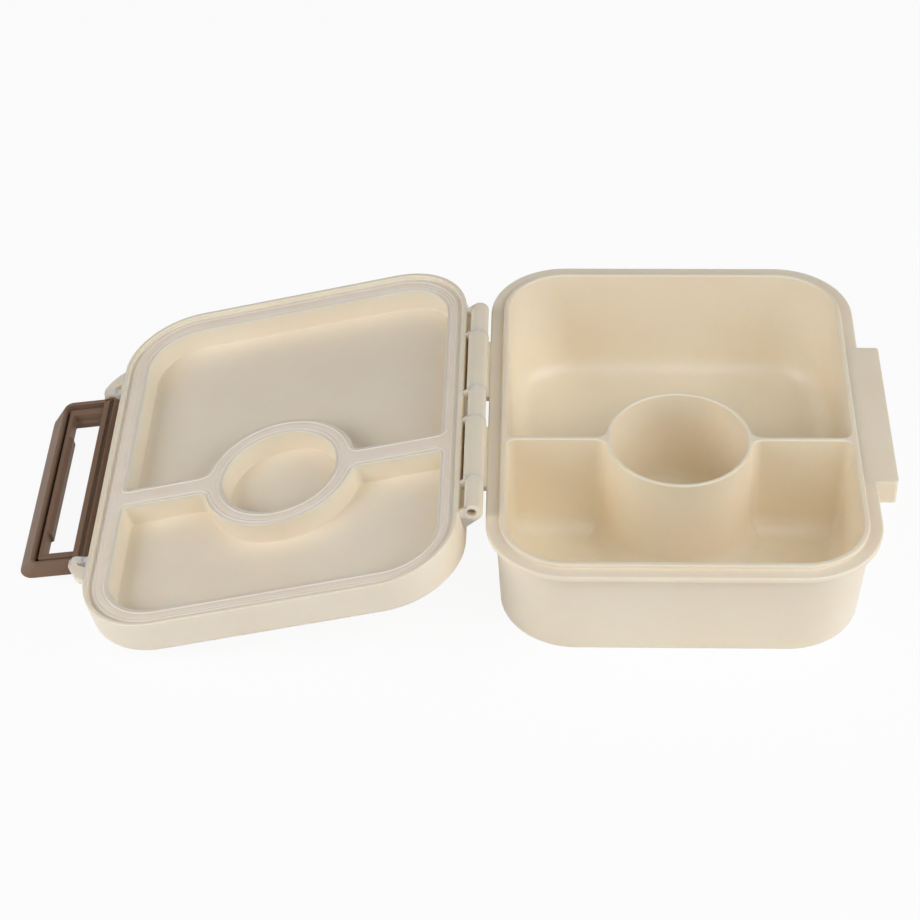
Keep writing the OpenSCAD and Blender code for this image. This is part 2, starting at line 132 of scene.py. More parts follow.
class Shader:
    """One material's node tree, with its Principled shader."""

    def __init__(self, name: str) -> None:
        """Makes an empty material with a Principled shader and an output.

        Args:
            name: the material's name.
        """
        self.material = bpy.data.materials.new(name)
        self.material.use_nodes = True
        self.tree = self.material.node_tree
        self.tree.nodes.clear()
        self.output = self.tree.nodes.new("ShaderNodeOutputMaterial")
        self.surface = self.tree.nodes.new("ShaderNodeBsdfPrincipled")
        self.tree.links.new(self.surface.outputs[0], self.output.inputs["Surface"])

    def node(self, kind: str, settings: dict[str, Any] | None = None,
             inputs: dict[Any, Any] | None = None) -> bpy.types.Node:
        """Adds any node.

        Args:
            kind: the node's type name.
            settings: attributes set first; "stops" fills a colour ramp.
            inputs: socket name or number to a number, tuple, value or socket.

        Returns:
            The new node.
        """
        node = self.tree.nodes.new(kind)
        for key, setting in (settings or {}).items():
            if key == "stops":
                for place, (position, colour) in enumerate(setting):
                    stops = node.color_ramp.elements
                    stop = stops[place] if place < 2 else stops.new(position)
                    stop.position, stop.color = position, colour
            else:
                setattr(node, key, setting)
        for key, entry in (inputs or {}).items():
            self.feed(node.inputs[key], entry)
        return node

    def feed(self, socket: bpy.types.NodeSocket, entry: Any) -> None:
        """Links a value or socket to a socket, or writes a plain number there.

        Args:
            socket: the input to fill.
            entry: value, socket or plain number.
        """
        if isinstance(entry, Value):
            entry = entry.socket
        if isinstance(entry, bpy.types.NodeSocket):
            self.tree.links.new(entry, socket)
        else:
            socket.default_value = entry

    def set(self, name: str, entry: Any) -> None:
        """Sets or links a socket of the Principled shader."""
        self.feed(self.surface.inputs[name], entry)

    def place(self) -> bpy.types.NodeSocket:
        """Object coordinates, in metres."""
        return self.node("ShaderNodeTexCoord").outputs["Object"]

    def noise(self, size_mm: float, detail: float = 2.0, rough: float = 0.5) -> Value:
        """Noise whose features are about size_mm across.

        Args:
            size_mm: feature size in millimetres.
            detail: number of finer layers.
            rough: strength of the finer layers.

        Returns:
            The noise, centred on 0.5.
        """
        node = self.node("ShaderNodeTexNoise", None, {
            "Vector": self.place(), "Scale": 1 / (size_mm * MM), "Detail": detail,
            "Roughness": rough})
        return Value(self, node.outputs[0])

    def stretched_noise(self, scale: tuple[float, float, float], detail: float) -> Value:
        """Noise drawn out along the axes with the small scales.

        Args:
            scale: features per metre along x, y and z.
            detail: number of finer layers.

        Returns:
            The noise, centred on 0.5.
        """
        moved = self.node("ShaderNodeMapping", None, {"Vector": self.place(), "Scale": scale})
        node = self.node("ShaderNodeTexNoise", None, {
            "Vector": moved.outputs[0], "Scale": 1.0, "Detail": detail})
        return Value(self, node.outputs[0])

    def steps(self, value: Value, low: float, high: float) -> Value:
        """Smooth step of a value.

        Args:
            value: the value to step.
            low: where the result is 0.
            high: where the result is 1.

        Returns:
            The step, from 0 to 1.
        """
        node = self.node("ShaderNodeMapRange", {"interpolation_type": "SMOOTHSTEP"}, {
            "Value": value, "From Min": low, "From Max": high})
        return Value(self, node.outputs[0])

    def blend(self, factor: Any, first: Any, second: Any) -> bpy.types.NodeSocket:
        """Mixes two colours.

        Args:
            factor: 0 for the first colour, 1 for the second.
            first: colour at 0.
            second: colour at 1.

        Returns:
            The mixed colour's socket.
        """
        node = self.node("ShaderNodeMix", {"data_type": "RGBA"}, {
            MIX_FACTOR: factor, MIX_FIRST: first, MIX_SECOND: second})
        return node.outputs[MIX_RESULT]

    def bump(self, height: Value, distance_mm: float, strength: float = 1.0) -> None:
        """Feeds a height to the shader's Normal through a Bump node.

        Args:
            height: the height, from 0 to 1.
            distance_mm: what a height of 1 means.
            strength: share of the bump that shows.
        """
        node = self.node("ShaderNodeBump", None, {
            "Height": height, "Distance": distance_mm * MM, "Strength": strength})
        self.set("Normal", node.outputs[0])


def linear(red: float, green: float, blue: float) -> tuple[float, float, float, float]:
    """Turns an sRGB colour into the linear colour a shader takes.

    Args:
        red: red, 0 to 255.
        green: green, 0 to 255.
        blue: blue, 0 to 255.

    Returns:
        The linear colour, with alpha 1.
    """
    def channel(level: float) -> float:
        """Turns one channel linear."""
        level /= 255
        return level / 12.92 if level <= 0.04045 else ((level + 0.055) / 1.055) ** 2.4
    return (channel(red), channel(green), channel(blue), 1.0)


# ---------------------------------------------------------------- finishes


@dataclass(frozen=True)
class Moulding:
    """Injection-moulded plastic with a fine satin grain and slight cloudiness."""

    name: str
    tone: tuple[float, float, float]
    cloud: tuple[float, float, float]
    roughness: float = 0.42
    grain_mm: float = 0.35
    grain_depth_mm: float = 0.006
    flow_mm: float = 34.0
    scatter: float = 0.0
    scatter_mm: float = 1.2
    scatter_radius: tuple[float, float, float] = (1.0, 0.7, 0.42)
    specular: float = 0.45
    patch_range: Point = (0.32, 0.68)
    handling_share: float = 0.35
    handling_sheen: float = 0.10
    grain_sheen: float = 0.05
    ripple_grains: float = 26
    ripple_height: float = 2.5
    bump_strength: float = 0.8

    def material(self) -> bpy.types.Material:
        """Builds the material: cloudy tone, grain bump, uneven sheen.

        Returns:
            The material.
        """
        shader = Shader(self.name)
        flow = shader.noise(self.flow_mm, 3.0)
        patches = shader.steps(flow, *self.patch_range)
        shader.set("Base Color", shader.blend(patches, linear(*self.tone), linear(*self.cloud)))
        grain = shader.noise(self.grain_mm, 2.0, 0.6)
        handling = shader.noise(self.flow_mm * self.handling_share, 4.0, 0.6)
        middle = (self.handling_sheen + self.grain_sheen) / 2
        shader.set("Roughness", self.roughness + self.handling_sheen * handling
                   + self.grain_sheen * grain - middle)
        ripple = shader.noise(self.grain_mm * self.ripple_grains, 1.0)
        shader.bump(grain + self.ripple_height * ripple, self.grain_depth_mm,
                    self.bump_strength)
        shader.set("Specular IOR Level", self.specular)
        if self.scatter:
            shader.set("Subsurface Weight", self.scatter)
            shader.set("Subsurface Scale", self.scatter_mm * MM)
            shader.set("Subsurface Radius", self.scatter_radius)
        return shader.material


@dataclass(frozen=True)
class Silicone:
    """Soft seal: matt, a little cloudy, with lint-fine unevenness."""

    name: str
    tone: tuple[float, float, float]
    cloud: tuple[float, float, float]
    roughness: float = 0.5
    milk_mm: float = 11.0
    milk_range: Point = (0.3, 0.7)
    dust_mm: float = 0.9
    dust_sheen: float = 0.16
    skin_mm: float = 0.5
    ripple_mm: float = 4.0
    skin_depth_mm: float = 0.012
    scatter: float = 0.25
    scatter_mm: float = 1.6
    scatter_radius: tuple[float, float, float] = (1.0, 0.8, 0.65)
    specular: float = 0.4

    def material(self) -> bpy.types.Material:
        """Builds the material: milky tone, dusty sheen, skin-like bump.

        Returns:
            The material.
        """
        shader = Shader(self.name)
        milk = shader.steps(shader.noise(self.milk_mm, 3.0), *self.milk_range)
        shader.set("Base Color", shader.blend(milk, linear(*self.tone), linear(*self.cloud)))
        dust = shader.noise(self.dust_mm, 3.0, 0.65)
        shader.set("Roughness", self.roughness + self.dust_sheen * dust - self.dust_sheen / 2)
        skin, ripple = shader.noise(self.skin_mm, 2.0), shader.noise(self.ripple_mm, 1.0)
        shader.bump(skin + 1.5 * ripple, self.skin_depth_mm, 0.7)
        shader.set("Subsurface Weight", self.scatter)
        shader.set("Subsurface Scale", self.scatter_mm * MM)
        shader.set("Subsurface Radius", self.scatter_radius)
        shader.set("Specular IOR Level", self.specular)
        return shader.material


@dataclass(frozen=True)
class DrawnSteel:
    """Bright drawn wire: metal with fine marks along its length."""

    name: str
    tone: tuple[float, float, float]
    roughness: float = 0.28
    marks_per_m: tuple[float, float, float] = (2600.0, 40.0, 2600.0)
    mark_tone: float = 0.82
    mark_sheen: float = 0.2

    def material(self) -> bpy.types.Material:
        """Builds the material: metallic tone with lengthwise drawing marks.

        Returns:
            The material.
        """
        shader = Shader(self.name)
        marks = shader.stretched_noise(self.marks_per_m, 3.0)
        shader.set("Base Color", shader.blend(
            marks, linear(*self.tone), linear(*(self.mark_tone * part for part in self.tone))))
        shader.set("Metallic", 1.0)
        shader.set("Roughness", self.roughness + self.mark_sheen * marks - self.mark_sheen / 2)
        shader.bump(marks, 0.004, 0.6)
        return shader.material


CREAM_TUB = Moulding("cream_tub_plastic", (250, 237, 208), (247, 233, 203), scatter=0.5,
                     scatter_mm=2.0, specular=0.9)
CREAM_LID = Moulding("cream_lid_plastic", (250, 237, 210), (247, 233, 205), scatter=0.5,
                     scatter_mm=2.0, specular=0.9)
BROWN_LATCH = Moulding("brown_latch_plastic", (139, 113, 90), (132, 106, 84), roughness=0.5,
                       grain_mm=0.3, specular=0.2)
SEAL_SKIN = Silicone("seal_silicone", (252, 238, 214), (249, 234, 208))
PIN_STEEL = DrawnSteel("pin_steel", (190, 188, 184))


# ---------------------------------------------------------------- outlines


def arc(centre: Point, radius: float, start: float, end: float, count: int) -> list[Point]:
    """Points along an arc.

    Args:
        centre: the arc's centre.
        radius: its radius.
        start: first angle in degrees.
        end: last angle in degrees.
        count: number of steps; one more point comes back.

    Returns:
        The points, both ends included.
    """
    turn = [math.radians(start + (end - start) * step / count) for step in range(count + 1)]
    return [(centre[0] + radius * math.cos(a), centre[1] + radius * math.sin(a)) for a in turn]


@dataclass(frozen=True)
class RoundedBox:
    """Rounded rectangle with its own corner radius at the low and high side."""

    left: float
    right: float
    low: float
    high: float
    low_radius: float
    high_radius: float
    steps: int = 14

    def points(self) -> list[Point]:
        """The outline, counter-clockwise from the lower right corner.

        Returns:
            The closed outline.
        """
        lo, hi = max(self.low_radius, LEAST_CORNER), max(self.high_radius, LEAST_CORNER)
        n = self.steps
        return (arc((self.right - lo, self.low + lo), lo, -90, 0, n)
                + arc((self.right - hi, self.high - hi), hi, 0, 90, n)
                + arc((self.left + hi, self.high - hi), hi, 90, 180, n)
                + arc((self.left + lo, self.low + lo), lo, 180, 270, n))


def rounded(half_x: float, half_y: float, radius: float) -> list[Point]:
    """Rounded rectangle centred on the origin."""
    return RoundedBox(-half_x, half_x, -half_y, half_y, radius, radius).points()


def circle(centre: Point, radius: float, count: int = 72) -> list[Point]:
    """Points round a full circle."""
    return arc(centre, radius, 0, 360, count)[:-1]


@dataclass(frozen=True)
class Bay:
    """Outline of one compartment beside the round cup, seen from above.

    The bay lies on the far side of the divider's face: v grows away from the divider, and
    y is side times v. The cup bites into it.
    """

    side: int
    left: float
    right: float
    far: float
    corner: float
    face: float
    cup_v: float
    cup_r: float
    fillet: float
    wall_fillet: float

    def points(self, shrink: float = 0.0) -> list[Point]:
        """The outline, moved inwards.

        Args:
            shrink: how far every wall moves into the bay; negative grows the bay.

        Returns:
            The closed outline as points in x and y.
        """
        left, right = self.left - shrink, self.right - shrink
        far, face = self.far - shrink, self.face + shrink
        rc = max(self.corner - shrink, LEAST_BAY_CORNER)
        rw = max(self.wall_fillet - shrink, LEAST_BAY_CORNER)
        rf = max(self.fillet - shrink, LEAST_BAY_CORNER)
        rcup = self.cup_r + shrink
        rise = face + rf - self.cup_v
        xf = math.sqrt((rcup + rf) ** 2 - rise ** 2)
        dip = math.degrees(math.atan2(rise, xf))
        path = (arc((right - rw, face + rw), rw, -90, 0, 8)
                + arc((right - rc, far - rc), rc, 0, 90, 16)
                + arc((rc - left, far - rc), rc, 90, 180, 16)
                + arc((rw - left, face + rw), rw, 180, 270, 8)
                + arc((-xf, face + rf), rf, -90, -dip, 8)
                + arc((0, self.cup_v), rcup, 180 - dip, dip, 56)[1:-1]
                + arc((xf, face + rf), rf, 180 + dip, 270, 8))
        return [(x, self.side * v) for x, v in path]


# ---------------------------------------------------------------- mesh tools


class Solid:
    """Collects the rings and faces of one closed mesh, in millimetres."""

    def __init__(self) -> None:
        """Starts with an empty mesh."""
        self.bm = bmesh.new()

    def ring(self, points: Iterable[Point], height: float, upright: str = "z") -> Ring:
        """Adds a ring of vertices.

        Args:
            points: the outline in two coordinates.
            height: the third coordinate.
            upright: the axis that height lies along.

        Returns:
            The ring's vertices.
        """
        place = {"z": lambda p: (p[0], p[1], height),
                 "y": lambda p: (p[0], height, p[1]),
                 "x": lambda p: (height, p[0], p[1])}[upright]
        return [self.bm.verts.new(place(p)) for p in points]

    def skin(self, *rings: Ring) -> None:
        """Joins each ring to the next with quads.

        Args:
            rings: rings with the same number of vertices.
        """
        for near, far in zip(rings, rings[1:]):
            for step in range(len(near)):
                after = (step + 1) % len(near)
                self.bm.faces.new((near[step], near[after], far[after], far[step]))

    def fill(self, *loops: Ring) -> None:
        """Fills the flat area between an outer ring and any holes.

        Args:
            loops: the outer ring, then the holes.
        """
        edges = []
        for loop in loops:
            for step, vert in enumerate(loop):
                pair = (vert, loop[(step + 1) % len(loop)])
                edges.append(self.bm.edges.get(pair) or self.bm.edges.new(pair))
        bmesh.ops.triangle_fill(self.bm, use_beauty=True, use_dissolve=False, edges=edges)

    def prism(self, outline: Sequence[Point], start: float, end: float, upright: str = "y",
              hole: Sequence[Point] | None = None,
              end_outline: Sequence[Point] | None = None) -> None:
        """Adds a prism.

        Args:
            outline: its outline at the start.
            start: where it starts along its axis.
            end: where it ends.
            upright: the axis that it lies along.
            hole: outline of a hole right through it.
            end_outline: its outline at the end, where that differs.
        """
        ends = []
        for height, shape in ((start, outline), (end, end_outline or outline)):
            loops = [self.ring(shape, height, upright)]
            if hole:
                loops.append(self.ring(hole, height, upright))
            self.fill(*loops)
            ends.append(loops)
        for near, far in zip(*ends):
            self.skin(near, far)

    def piece(self, name: str, finish: bpy.types.Material, body: str, slot: str,
              place: Matrix | None = None, bevel_mm: float = 0.0,
              sharp: float = 38.0) -> bpy.types.Object:
        """Turns the mesh into an object that rides on a body.

        Args:
            name: the piece's name.
            finish: its material.
            body: the body it moves with.
            slot: the record's material slot; not used.
            place: matrix in millimetres from the closed drawing to the row frame.
            bevel_mm: width of the rounding put on sharp edges.
            sharp: edges that turn by more than this many degrees stay crisp.

        Returns:
            The new object.
        """
        bmesh.ops.remove_doubles(self.bm, verts=self.bm.verts, dist=1e-4)
        bmesh.ops.recalc_face_normals(self.bm, faces=self.bm.faces)
        if place is not None:
            self.bm.transform(place)
        self.bm.transform(Matrix.Scale(MM, 4))
        for face in self.bm.faces:
            face.smooth = True
        mesh = bpy.data.meshes.new(name)
        self.bm.to_mesh(mesh)
        self.bm.free()
        mesh.materials.append(finish)
        piece = bpy.data.objects.new(name, mesh)
        bpy.context.scene.collection.objects.link(piece)
        if bevel_mm:
            bevel = piece.modifiers.new("moulded_edges", "BEVEL")
            bevel.width, bevel.segments = bevel_mm * MM, 3
            bevel.limit_method, bevel.angle_limit = "ANGLE", math.radians(sharp)
            bevel.use_clamp_overlap = True
        else:
            mesh.set_sharp_from_angle(angle=math.radians(sharp))
        weigh = piece.modifiers.new("even_faces", "WEIGHTED_NORMAL")
        weigh.mode, weigh.keep_sharp, weigh.weight = "FACE_AREA_WITH_ANGLE", True, 60
        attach(piece, body)
        LOG.info("%s rides on %s: %d faces", name, body, len(mesh.polygons))
        return piece


def round_over(radius: float, count: int = 4) -> list[Point]:
    """Quarter round as pairs of run-in and rise, each from 0 to radius."""
    turn = [math.pi / 2 * step / count for step in range(count + 1)]
    return [(radius * (1 - math.cos(a)), radius * (1 - math.sin(a))) for a in turn]


# ---------------------------------------------------------------- the container's parts


class Level(Enum):
    """Heights of the closed box above the table, in millimetres."""

    FLANGE = 40.7
    LIP = 42.0
    RIM = 41.2
    SEAL = 42.7
    LID_FLOOR = 50.8
    ROOF = 54.2


@dataclass
class Swing:
    """Turns what is drawn closed into the open pose that the frame rests in."""

    joints: list[dict[str, Any]] = field(default_factory=lambda: frame["joints"])

    def _joint(self, name: str) -> tuple[Vector, float]:
        """A joint's axis point in millimetres and its travel in radians."""
        joint = next(j for j in self.joints if j["name"] == name)
        return Vector(joint["pos_m"]) / MM, math.radians(joint["range_deg"][1])

    def lid(self) -> Matrix:
        """Swings the closed lid open.

        Returns:
            The matrix, in millimetres.
        """
        axis, travel = self._joint("lid_hinge")
        return (Matrix.Translation(axis) @ Matrix.Rotation(-travel, 4, "Y")
                @ Matrix.Translation(-axis))

    def latch(self) -> Matrix:
        """Takes the latch, drawn hanging from the origin, to its open place.

        Returns:
            The matrix, in millimetres.
        """
        axis, travel = self._joint("latch_hinge")
        lid_travel = self._joint("lid_hinge")[1]
        return Matrix.Translation(axis) @ Matrix.Rotation(-travel - lid_travel, 4, "Y")


@dataclass
class Tub:
    """The lower moulding: shell, lip, divider, cup, catch ledge and two hinge knuckles."""

    half_x: float = 65.0
    half_y: float = 83.2
    corner: float = 27.0
    base_corner: float = 25.5
    wall: float = 3.0
    floor: float = 2.0
    floor_round: float = 8.0
    lean_x: float = 1.3
    lean_y: float = 5.6
    flange_w: float = 3.3
    flange_t: float = 2.2
    flange_round: float = 0.7
    lip_t: float = 1.8
    lip_round: float = 0.5
    divider_y: float = DIVIDER_Y
    divider_half: float = 0.9
    cup_r: float = 24.8
    cup_wall: float = 1.5
    draft: float = 0.7
    cup_fillet: float = 4.0
    wall_fillet: float = 3.2
    mid_corner: float = 23.7
    lean_from: float = 7.0
    lean_to: float = 43.0
    foot_round: float = 0.7
    foot_rows: tuple[tuple[float, float, float], ...] = ((4.0, 4.0, 0.35), (3.2, 3.0, 0.0))
    bay_rows: tuple[float, ...] = (34.0, 26.0, 18.0)
    knuckle_r: float = 3.5
    knuckle_shift: Point = (0.25, -0.34)
    knuckle_rim: float = 0.18
    knuckle_rim_len: float = 0.6
    knuckle_y: tuple[float, float] = (-23.6, 23.6)
    knuckle_len: float = 31.3
    catch_half: float = 36.0
    catch_x: float = 72.2
    catch_top: float = 40.72
    catch_foot: float = 31.6
    catch_wall: float = 2.4
    catch_cap_in: float = 4.1
    catch_cap_t: float = 1.2

    def _outside(self, solid: Solid) -> Ring:
        """Skins the outside from the underside to the lip.

        Args:
            solid: the mesh to add to.

        Returns:
            The lip's inner ring.
        """
        def ring(inset_x: float, inset_y: float, radius: float, z: float) -> Ring:
            """Adds the tub's outline, moved inwards, at a height."""
            return solid.ring(rounded(self.half_x - inset_x, self.half_y - inset_y, radius), z)

        body_z = Level.FLANGE.value - self.flange_t
        foot_x, foot_y = self.flange_w + self.lean_x, self.flange_w + self.lean_y
        rings = [ring(foot_x + inset, foot_y + inset, self.base_corner - cut, z)
                 for inset, cut, z in self.foot_rows]
        for run, rise in reversed(round_over(self.foot_round)):
            rings.append(ring(foot_x + run + 0.02 * rise, foot_y + run, self.base_corner - run,
                              rise))
        for share in (0.25, 0.5, 0.75):
            rings.append(ring(foot_x - self.lean_x * share, foot_y - self.lean_y * share,
                              self.base_corner - (self.base_corner - self.mid_corner) * share,
                              body_z * share))
        rings.append(ring(self.flange_w, self.flange_w, self.corner - self.flange_w, body_z - 0.6))
        for run, rise in round_over(0.6, 3)[1:]:
            rings.append(ring(self.flange_w - run, self.flange_w - run,
                              self.corner - self.flange_w + run, body_z - rise))
        edge = self.flange_round
        for run, rise in reversed(round_over(edge)):
            rings.append(ring(run, run, self.corner - run, body_z + rise))
        for run, rise in round_over(edge):
            rings.append(ring(run, run, self.corner - run, Level.FLANGE.value - rise))
        lip_in = self.flange_w + self.wall - self.lip_t
        for run, rise in reversed(round_over(0.35, 3)):
            inset = lip_in - run
            rings.append(ring(inset, inset, self.corner - inset, Level.FLANGE.value + rise))
        for run, rise in round_over(self.lip_round):
            inset = lip_in + run
            rings.append(ring(inset, inset, self.corner - inset, Level.LIP.value - rise))
        solid.fill(rings[0])
        solid.skin(*rings)
        return rings[-1]

    def _bay(self, side: int, z: float) -> Bay:
        """Works out one compartment at a height.

        Args:
            side: -1 for the front, 1 for the rear.
            z: the height.

        Returns:
            The compartment's outline.
        """
        up = min(max((z - self.lean_from) / (self.lean_to - self.lean_from), 0.0), 1.0)
        inner = self.flange_w + self.wall
        thick = self.draft * (1 - z / Level.LIP.value)
        centre = side * self.divider_y
        reach = self.half_x - inner - self.lean_x * (1 - up)
        low_corner = self.base_corner - self.wall
        return Bay(side, reach, reach, self.half_y - inner - self.lean_y * (1 - up),
                   low_corner + (self.corner - inner - low_corner) * up,
                   centre + self.divider_half + thick, centre, self.cup_r + thick,
                   self.cup_fillet, self.wall_fillet)

    def _compartment(self, solid: Solid, side: int) -> Ring:
        """Skins one compartment down to its floor.

        Args:
            solid: the mesh to add to.
            side: -1 for the front, 1 for the rear.

        Returns:
            The ring of its mouth.
        """
        rings = []
        for run, rise in reversed(round_over(self.lip_round)):
            z = Level.LIP.value - rise
            rings.append(solid.ring(self._bay(side, z).points(-run), z))
        for z in self.bay_rows:
            rings.append(solid.ring(self._bay(side, z).points(), z))
        for run, rise in round_over(self.floor_round, 7):
            z = self.floor + rise
            rings.append(solid.ring(self._bay(side, z).points(run), z))
        solid.skin(*rings)
        solid.fill(rings[-1])
        return rings[0]

    def _cup(self, solid: Solid) -> Ring:
        """Skins the inside of the cup.

        Args:
            solid: the mesh to add to.

        Returns:
            The ring of its mouth.
        """
        mouth, centre = self.cup_r - self.cup_wall, (0.0, self.divider_y)
        rings = []
        for run, rise in reversed(round_over(self.lip_round)):
            rings.append(solid.ring(circle(centre, mouth + run), Level.LIP.value - rise))
        foot = mouth - self.draft
        for run, rise in round_over(self.floor_round, 8):
            rings.append(solid.ring(circle(centre, foot - run), self.floor + rise))
        rings.append(solid.ring(circle(centre, foot - self.floor_round - 8), self.floor))
        solid.skin(*rings)
        solid.fill(rings[-1])
        return rings[0]

    def shell(self, finish: bpy.types.Material) -> bpy.types.Object:
        """The tub's body with its compartments, divider and cup.

        Args:
            finish: its material.

        Returns:
            The new object.
        """
        solid = Solid()
        lip = self._outside(solid)
        solid.fill(lip, self._compartment(solid, -1), self._compartment(solid, 1),
                   self._cup(solid))
        return solid.piece("tub_shell", finish, "tub", "tub_plastic")

    def catch(self, finish: bpy.types.Material) -> bpy.types.Object:
        """The ledge that the latch hooks under: a top and three walls.

        Args:
            finish: its material.

        Returns:
            The new object.
        """
        root = self.half_x - self.flange_w - self.lean_x
        cap = self.half_x - self.catch_cap_in
        tuck = self.catch_top - self.catch_cap_t
        solid = Solid()

        def outer(left: float, z: float) -> Ring:
            """Adds the ledge's outline at a height."""
            box = RoundedBox(left, self.catch_x, -self.catch_half, self.catch_half, 1.2, 1.2, 6)
            return solid.ring(box.points(), z)

        wall = self.catch_wall
        inner = RoundedBox(self.half_x - self.flange_w + 0.2, self.catch_x - wall,
                           wall - self.catch_half, self.catch_half - wall, 0.6, 0.6, 6)
        top = outer(cap, self.catch_top)
        low = outer(root, self.catch_foot)
        mouth = solid.ring(inner.points(), self.catch_foot)
        roof = solid.ring(inner.points(), self.catch_top - wall)
        solid.fill(top)
        solid.skin(top, outer(cap, tuck), outer(root, tuck), low)
        solid.fill(low, mouth)
        solid.skin(mouth, roof)
        solid.fill(roof)
        return solid.piece("tub_catch_ledge", finish, "tub", "tub_plastic", bevel_mm=0.45)

    def knuckles(self, finish: bpy.types.Material) -> bpy.types.Object:
        """The two hinge knuckles with the webs that run in under the flange.

        Args:
            finish: its material.

        Returns:
            The new object.
        """
        solid = Solid()
        x, z = HINGE
        top = Level.FLANGE.value
        edge = -self.half_x + self.flange_round
        cx, cz = x + self.knuckle_shift[0], z + self.knuckle_shift[1]
        bore = circle((x, z), KNUCKLE_BORE, 32)

        def outline(r: float) -> list[Point]:
            """Outlines a knuckle with its web.

            Args:
                r: the knuckle's radius.

            Returns:
                The closed outline.
            """
            return arc((cx, cz), r, 0, 250, 44) + [
                (edge, top - self.flange_t), (edge, top - self.flange_round),
                (cx + r, top - 0.2)]

        for y in self.knuckle_y:
            low, high = y - self.knuckle_len / 2, y + self.knuckle_len / 2
            solid.prism(outline(self.knuckle_r), low + 0.02, high - 0.02, "y", bore)
            for start in (low, high - self.knuckle_rim_len):
                solid.prism(outline(self.knuckle_r + self.knuckle_rim), start,
                            start + self.knuckle_rim_len, "y", bore)
        return solid.piece("tub_knuckles", finish, "tub", "tub_plastic", bevel_mm=0.1)

    def build(self, finish: bpy.types.Material) -> None:
        """Builds the whole tub in place of its CAD node.

        Args:
            finish: its material.
        """
        shell = self.shell(finish)
        self.catch(finish)
        self.knuckles(finish)
        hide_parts("tub")


@dataclass
class LidBays:
    """Outlines that the lid and its seal share."""

    half_x: float = 65.4
    half_y: float = 83.6
    corner: float = 27.4
    shelf: float = 8.8
    hinge_shelf: float = 7.4
    bar_half: float = 4.6
    divider_y: float = DIVIDER_Y
    ring_r: float = 27.0
    hole_r: float = 20.4
    seal_in: float = 2.7
    seal_edge: float = 0.7

    def bay(self, side: int) -> Bay:
        """Works out one compartment of the lid.

        Args:
            side: -1 for the front, 1 for the rear.

        Returns:
            The compartment's outline.
        """
        centre = side * self.divider_y
        return Bay(side, self.half_x - self.hinge_shelf, self.half_x - self.shelf,
                   self.half_y - self.shelf, self.corner - self.shelf,
                   centre + self.bar_half, centre, self.ring_r, 3.2, 1.6)

    def bays(self, shrink: float) -> list[list[Point]]:
        """Both compartments and the ring's hole, moved inwards by shrink."""
        return [self.bay(-1).points(shrink), self.bay(1).points(shrink),
                circle((0.0, self.divider_y), self.hole_r - shrink)]

    def outline(self, inset: float) -> list[Point]:
        """The lid's own outline, moved inwards."""
        return rounded(self.half_x - inset, self.half_y - inset, self.corner - inset)


